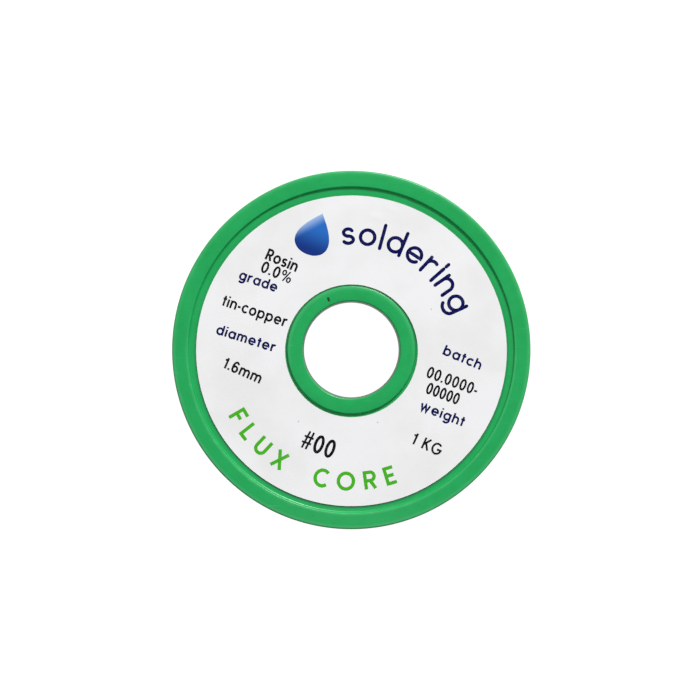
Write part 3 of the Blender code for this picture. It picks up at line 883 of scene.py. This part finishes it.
def sweptPoints(path, angle, radius, sides):
    # A ring at each path point: the point + radius * (out * cos + across * sin), where out points
    # away from the axis and across is square to it and to the path.
    along = unit(np.gradient(path, axis=0))
    out = np.column_stack([np.cos(angle), np.sin(angle), np.zeros_like(angle)])
    out = unit(out - along * (out * along).sum(1, keepdims=True))
    across = np.cross(along, out)
    turn = (np.arange(sides) * 2 * np.pi / sides)[None, :, None]
    ring = np.cos(turn) * out[:, None] + np.sin(turn) * across[:, None]
    return (path[:, None] + ring * np.reshape(radius, (-1, 1, 1))).reshape(-1, 3)


def wireMaps(piece, rings, sides, perTurn, lengthStep):
    # Two maps for the tube's quads. OFBake gives each turn a strip of its own, and wireRun
    # holds metres along the wire and once round it.
    ring = np.repeat(np.arange(rings - 1), sides)
    side = np.tile(np.arange(sides), rings - 1)
    alongCorner = np.array([0, 1, 1, 0])
    roundCorner = np.array([0, 0, 1, 1])
    position = ring[:, None] % perTurn + alongCorner
    strips = math.ceil((rings - 1) / perTurn)
    strip = ring[:, None] // perTurn
    u = 0.002 + 0.996 * position / perTurn
    v = (strip + 0.08 + 0.84 * (side[:, None] + roundCorner) / sides) / strips
    runU = (ring[:, None] + alongCorner) * lengthStep
    runV = (side[:, None] + roundCorner) / sides
    rest = len(piece.data.loops) - u.size
    for name, pair in (("OFBake", (u, v)), ("wireRun", (runU, runV))):
        flat = rowsOf(*pair)
        addMap(piece, name, np.vstack([flat, np.repeat(flat[-1:], rest, 0)]))


def tubeFaces(rings, sides):  # the quads of a tube, and one face over each end
    quads = gridFaces(rings, sides, wrapColumns=True)[:, ::-1]
    first = np.arange(sides)
    last = first + (rings - 1) * sides
    return [*quads, first, last[::-1]]


def woundWire(name, size, table, firstTurn, lastTurn, detail, material, node, openTip=False):
    # A tube of round section along the winding's path. A cut tip gets a hole for the resin: a ring
    # in its face, and a narrower one a little way in.
    perTurn, sides = detail
    t = np.linspace(firstTurn, lastTurn, round((lastTurn - firstTurn) * perTurn) + 1)
    path, angle = windingPath(size, t, *table)
    points = sweptPoints(path, angle, size["diameter"] / 2, sides)
    if openTip:
        hole = [-1, -4]
        holeRadius = (size["coreRadius"] + size["coreGap"]) * np.array([1, size["holeTaper"]])
        centre = path[hole][:, None]
        spokes = sweptPoints(path, angle, 1.0, sides).reshape(-1, sides, 3)[hole] - centre
        points = np.vstack([points, (centre + spokes * holeRadius[:, None, None]).reshape(-1, 3)])
    rings = len(points) // sides
    piece = newPiece(name, points, tubeFaces(rings, sides), material)
    wireMaps(piece, rings, sides, perTurn, 2 * math.pi * size["mapRadius"] / perTurn)
    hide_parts(node)
    length = np.linalg.norm(np.diff(path, axis=0), axis=1).sum()
    print(name, "turns", round(lastTurn - firstTurn, 1), "metres", round(float(length), 2))
    return path, angle


def resinCore(size, path, angle, material):
    # A short plug that stands a little proud of the cut, with a domed end.
    sides = 16
    reach = np.array([-1.6, -0.8, 0.0, 0.05, 0.075]) * mm
    radius = np.array([1.0, 1.0, 1.0, 0.86, 0.5]) * size["coreRadius"]
    count = len(reach)
    ahead = path[-1] - path[-4]
    core = path[-1] + reach[:, None] * (ahead / np.linalg.norm(ahead))
    points = sweptPoints(core, np.full(count, angle[-1]), radius, sides)
    piece = newPiece("resinCore", points, tubeFaces(count, sides), material)
    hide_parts("flux_core")


tapeLow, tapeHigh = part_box("end_tape")
tapeSizes = dict(
    angle=-73.0, width=12.0 * mm, thickness=0.16 * mm, low=tapeLow.z, high=tapeHigh.z,
    off=0.04 * mm, tooth=0.8 * mm, toothDepth=0.3 * mm, soft=0.2 * mm, curl=0.5 * mm,
    rows=150, columns=64, margin=3 * mm, samples=600,
)


def endTape(size, wire, table, material):
    # How far out the tape lies: the outermost wire within reach, then blurred, so that the
    # strip bridges the grooves and slopes down where the last layer stops.
    heights, _, counts = table
    turn = math.radians(size["angle"] - wire["tipAngle"] + wire["endSweep"]) / (2 * np.pi) % 1
    under = np.arange(len(heights) - counts[-1] - counts[-2], len(heights))
    place, _ = windingPath(wire, under + turn, *table)
    wireOut = np.hypot(place[:, 0], place[:, 1])
    z = np.linspace(size["low"] - size["margin"], size["high"] + size["margin"], size["samples"])
    radius = wire["diameter"] / 2
    off = np.abs(z[:, None] - place[None, :, 2])
    crest = np.where(off < radius, wireOut + np.sqrt(np.maximum(radius**2 - off**2, 0)), 0).max(1)
    reach = round(size["soft"] / (z[1] - z[0]))
    padded = np.pad(crest, reach, mode="edge")
    wide = np.lib.stride_tricks.sliding_window_view(padded, 2 * reach + 1).max(1)
    kernel = np.exp(-((np.arange(-3 * reach, 3 * reach + 1) / reach) ** 2))
    soft = np.convolve(np.pad(wide, 3 * reach, mode="edge"), kernel / kernel.sum(), mode="valid")
    soft = np.maximum(soft, crest) + size["off"]
    rows, columns = size["rows"], size["columns"]
    share = np.linspace(0, 1, rows)[:, None]
    side = np.linspace(-1, 1, columns)[None]
    arc = side * size["width"] / 2
    zigzag = np.abs((arc / size["tooth"]) % 1 - 0.5) * 2 * size["toothDepth"]
    low = size["low"] + zigzag + 0.15 * mm * np.sin(arc * 900)
    high = size["high"] - zigzag - 0.3 * mm + 0.1 * mm * np.sin(arc * 700 + 1)
    height = low + (high - low) * share
    out = np.interp(height, z, soft)
    curl = smoothStep((share - 0.86) / 0.14) * smoothStep((side - 0.1) / 0.9)
    out = out + size["curl"] * curl**1.5
    angle = math.radians(size["angle"]) + arc / wireOut.max()
    points = rowsOf(out * np.cos(angle), out * np.sin(angle), height)
    faces = gridFaces(rows, columns)[:, ::-1]
    piece = newPiece("tapeStrip", points, faces, material)
    addMap(piece, "tapeRun", rowsOf(arc, height)[faces.ravel()])
    wall = piece.modifiers.new("thickness", "SOLIDIFY")
    wall.thickness = size["thickness"]
    wall.offset = 1
    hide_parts("end_tape")


def softLight(name, order):
    light = bpy.data.lights.new(name, "AREA")
    light.shape = "RECTANGLE"
    light.size, light.size_y = order["size"]
    light.energy = order["power"]
    lamp = inScene(name, light)
    lamp.location = order["place"]
    aim = -lamp.location.copy()
    lamp.rotation_euler = aim.to_track_quat("-Z", "Y").to_euler()


def studio(order):
    world = bpy.data.worlds.new("studio")
    world.use_nodes = True
    room = Nodes(world.node_tree)
    # The room's brightness grows from one side to the other: a dot product with a direction.
    sockets = {0: room.add("ShaderNodeTexCoord"), 1: order["worldLean"]}
    lean = room.add("ShaderNodeVectorMath", {"operation": "DOT_PRODUCT"}, sockets, "Value")
    shade = room.mix(lean.ramp(-0.5, 1.0), order["dark"], order["zenith"])
    seen = room.mix(room.add("ShaderNodeLightPath"), shade, order["backdrop"])
    room.feed(room.tree.nodes["Background"].inputs["Color"], seen)
    bpy.context.scene.world = world
    softLight("keyLight", order["key"])
    softLight("sideLight", order["side"])
    bpy.ops.mesh.primitive_plane_add(size=order["floorSize"], location=(0, 0, -order["floorDrop"]))
    floor = bpy.context.object
    floor.name = "paleFloor"
    finish = Finish("paleFloor", Specular_IOR_Level=0.1, Roughness=0.9)
    glow = finish.mix(finish.add("ShaderNodeLightPath"), order["floorGlow"], order["floorSeen"])
    finish.paint(Base_Color=order["floorShade"], Emission_Color=glow, Emission_Strength=1.0)
    floor.data.materials.append(finish.material)


def lookDown(order):
    camera = bpy.data.cameras.new("camera")
    holder = inScene("camera", camera)
    holder.location = (*order["aside"], spoolHeight - order["ring"] + order["height"])
    camera.lens = camera.sensor_width * order["height"] / order["frameWidth"]
    camera.clip_start = 0.05
    camera.clip_end = 20
    bpy.context.scene.camera = holder


bpy.context.scene.view_settings.view_transform = "Standard"
lookDown(cameraOrder)
studio(lightOrder)
print("camera, lights and floor are set")

green = plasticFinish(plasticLook)
paper = labelFinish(labelLook)
solder = solderFinish("solderWire", solderLook, "wireRun")
print("finishes are mixed")

spoolHalf("rearShell", "rear_half", halfSizes, halfSizes["spigot"], green, False)
spoolHalf("frontShell", "front_half", halfSizes, halfSizes["socket"], green, True)
gateStub(stubSizes, green)
print("spool halves are turned")

paperLabel(labelSizes, paper)
navyWords = wordSet(inkSizes["navy"]) + arcLetters(*inkSizes["topArc"], True)
inkPiece("blackPrint", wordSet(inkSizes["black"]), inkFinish("black", inkLook))
inkPiece("navyPrint", navyWords, inkFinish("navy", inkLook))
inkPiece("greenPrint", arcLetters(*inkSizes["footArc"]), inkFinish("green", inkLook))
inkPiece("dropPrint", [dropShape(dropSizes)], dropFinish(dropLook, dropSizes))
print("label is printed")

table = turnTable(wireSizes)
turns = len(table[0])
loose = turns - table[2][-1] - table[2][-2]  # the first turn of the last two layers
tip = turns - 1 + wireSizes["endSweep"] / 360
woundWire("innerTurns", wireSizes, table, 0, loose, wireSizes["innerDetail"], solder, "solder_winding")
path, angle = woundWire(
    "outerTurns", wireSizes, table, loose, tip, wireSizes["outerDetail"], solder, "wire_end", True
)
resinCore(wireSizes, path, angle, resinFinish(resinLook))
endTape(tapeSizes, wireSizes, table, tapeFinish(tapeLook))
hiddenSolder = solderFinish("hiddenSolder", solderLook)
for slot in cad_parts["wire_start"].material_slots:
    slot.material = hiddenSolder
print("wire is wound and taped")
